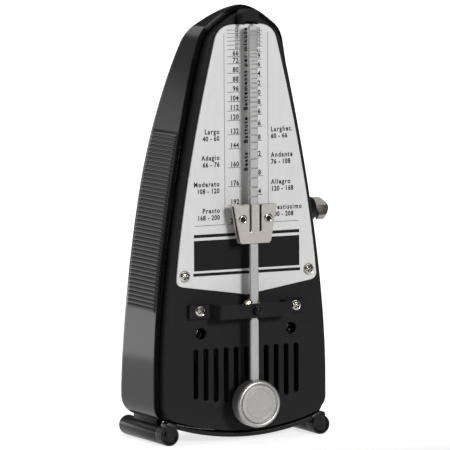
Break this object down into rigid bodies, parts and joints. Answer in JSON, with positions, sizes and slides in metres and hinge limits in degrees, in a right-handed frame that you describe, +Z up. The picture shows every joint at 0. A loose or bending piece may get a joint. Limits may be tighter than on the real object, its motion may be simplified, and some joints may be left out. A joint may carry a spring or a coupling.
{
  "type": "wind-up metronome",
  "caption": "Small wind-up pendulum metronome with a tapered moulded case, printed scale plate, sliding tempo weight, disc bob and side winding key.",
  "frame": {"origin": "on the surface it stands on, at the middle of its width and depth, so 2.6 mm to the key side of the pendulum plane and 13.1 mm behind the panel face", "axes": "+Z up, +Y from the scale plate to the back, +X towards the winding key"},
  "size_m": [0.076, 0.0478, 0.1598],
  "materials": {
    "gloss_black": "gloss moulded",
    "matt_black": "fine matt texture",
    "scale_silver": "satin, printed in black",
    "nickel": "nickel plated",
    "rod_steel": "satin",
    "key_metal": "warm grey satin",
    "brass": "polished",
    "tool_steel": "turned",
    "blued_steel": "blackened"
  },
  "bodies": {
    "case": {"rear_housing": "gloss_black", "front_panel": "matt_black", "scale_plate": "scale_silver", "pendulum_catch": "matt_black", "pendulum_bridge": "matt_black", "bridge_pivot_screw": "gloss_black", "plate_screw_left": "nickel", "plate_screw_right": "nickel", "bridge_screw_left": "nickel", "bridge_screw_right": "nickel", "case_screw_left": "blued_steel", "case_screw_right": "blued_steel", "foot_left": "gloss_black", "foot_right": "gloss_black", "base_frame": "gloss_black", "movement_plate_left": "brass", "movement_plate_right": "brass", "movement_screw_left": "blued_steel", "movement_screw_right": "blued_steel", "pillar_upper_front": "brass", "pillar_upper_rear": "brass", "pillar_lower_front": "brass", "pillar_lower_rear": "brass", "rear_cock": "brass", "potence": "brass", "key_bush": "gloss_black", "click_screw": "blued_steel", "click_spring": "blued_steel"},
    "pendulum": {"pendulum_hub": "brass", "upper_rod": "rod_steel", "lower_rod": "rod_steel", "bob": "nickel", "verge_staff": "tool_steel", "front_pallet": "tool_steel", "rear_pallet": "tool_steel"},
    "tempo_weight": {"weight_front_plate": "nickel", "weight_rear_plate": "nickel", "weight_eyelet_left": "nickel", "weight_eyelet_right": "nickel"},
    "winding": {"winding_key": "key_metal", "winding_arbor": "tool_steel", "ratchet_wheel": "tool_steel"},
    "click_lever": {"click": "tool_steel"},
    "barrel": {"mainspring_barrel": "brass", "barrel_cover": "brass", "mainspring": "blued_steel"},
    "second": {"second_pinion": "tool_steel", "second_wheel": "brass"},
    "third": {"third_pinion": "tool_steel", "third_wheel": "brass"},
    "escape": {"escape_pinion": "tool_steel", "crown_wheel": "brass"}
  },
  "joints": [
    {"name": "pendulum_swing", "type": "hinge", "parent": "case", "child": "pendulum", "pos_m": [-0.0026, -0.0131, 0.049], "axis": [0, 1, 0], "range_deg": [-25, 25]},
    {"name": "tempo_weight_slide", "type": "slide", "parent": "pendulum", "child": "tempo_weight", "axis": [0, 0, 1], "range_m": [-0.0072, 0.0625]},
    {"name": "key_turn", "type": "hinge", "parent": "case", "child": "winding", "pos_m": [-0.0026, 0.0004, 0.0826], "axis": [-1, 0, 0], "range_deg": [0, 1800]},
    {"name": "click_lift", "type": "hinge", "parent": "case", "child": "click_lever", "pos_m": [-0.0026, -0.0054, 0.0884], "axis": [1, 0, 0], "range_deg": [0, 12], "stiffness_Nm_per_rad": 0.0001, "springref_deg": -5.73},
    {"name": "escape_spin", "type": "hinge", "parent": "case", "child": "escape", "pos_m": [-0.0026, 0.0004, 0.049], "axis": [1, 0, 0], "continuous": true},
    {"name": "third_spin", "type": "hinge", "parent": "case", "child": "third", "pos_m": [-0.0026, 0.0004, 0.0595], "axis": [1, 0, 0], "continuous": true},
    {"name": "second_spin", "type": "hinge", "parent": "case", "child": "second", "pos_m": [-0.0026, 0.0004, 0.07], "axis": [1, 0, 0], "continuous": true},
    {"name": "barrel_spin", "type": "hinge", "parent": "case", "child": "barrel", "pos_m": [-0.0026, 0.0004, 0.0826], "axis": [1, 0, 0], "continuous": true}
  ],
  "couplings": [
    {"joint": "third_spin", "follows": "escape_spin", "ratio": -0.25},
    {"joint": "second_spin", "follows": "escape_spin", "ratio": 0.0625},
    {"joint": "barrel_spin", "follows": "escape_spin", "ratio": -0.0125}
  ]
}
